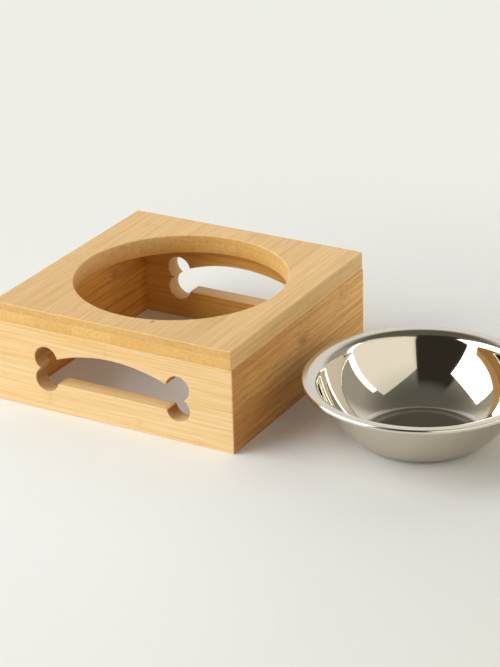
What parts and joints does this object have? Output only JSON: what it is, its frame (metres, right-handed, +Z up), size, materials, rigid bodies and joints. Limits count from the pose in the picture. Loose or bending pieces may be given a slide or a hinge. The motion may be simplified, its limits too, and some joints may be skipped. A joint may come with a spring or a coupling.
{
  "type": "pet bowl stand",
  "caption": "Square raised bamboo stand with a round hole in its top and bone-shaped hand-hold slots, with its loose round steel pet bowl standing beside it.",
  "frame": {"origin": "on the floor, under the middle of the box that the stand and its bowl take up together", "axes": "+X from the stand towards the bowl, +Y from the slotted front to the back, +Z up"},
  "size_m": [0.3785, 0.195, 0.0765],
  "materials": {
    "bamboo": "sanded laminated bamboo, clear satin oil",
    "joinery_wood": "raw turned and sawn bamboo",
    "bowl_steel": "mirror polished inside, satin on the rim and outside"
  },
  "bodies": {
    "stand": {"top_board": "bamboo", "front_panel": "bamboo", "right_panel": "bamboo", "back_panel": "bamboo", "left_panel": "bamboo", "front_right_spline": "joinery_wood", "back_right_spline": "joinery_wood", "back_left_spline": "joinery_wood", "front_left_spline": "joinery_wood", "front_dowels": "joinery_wood", "right_dowels": "joinery_wood", "back_dowels": "joinery_wood", "left_dowels": "joinery_wood"},
    "bowl": {"bowl": "bowl_steel"}
  },
  "joints": [
    {"name": "bowl_lift", "type": "slide", "parent": "stand", "child": "bowl", "axis": [0, 0, 1], "range_m": [0, 0.12]}
  ]
}
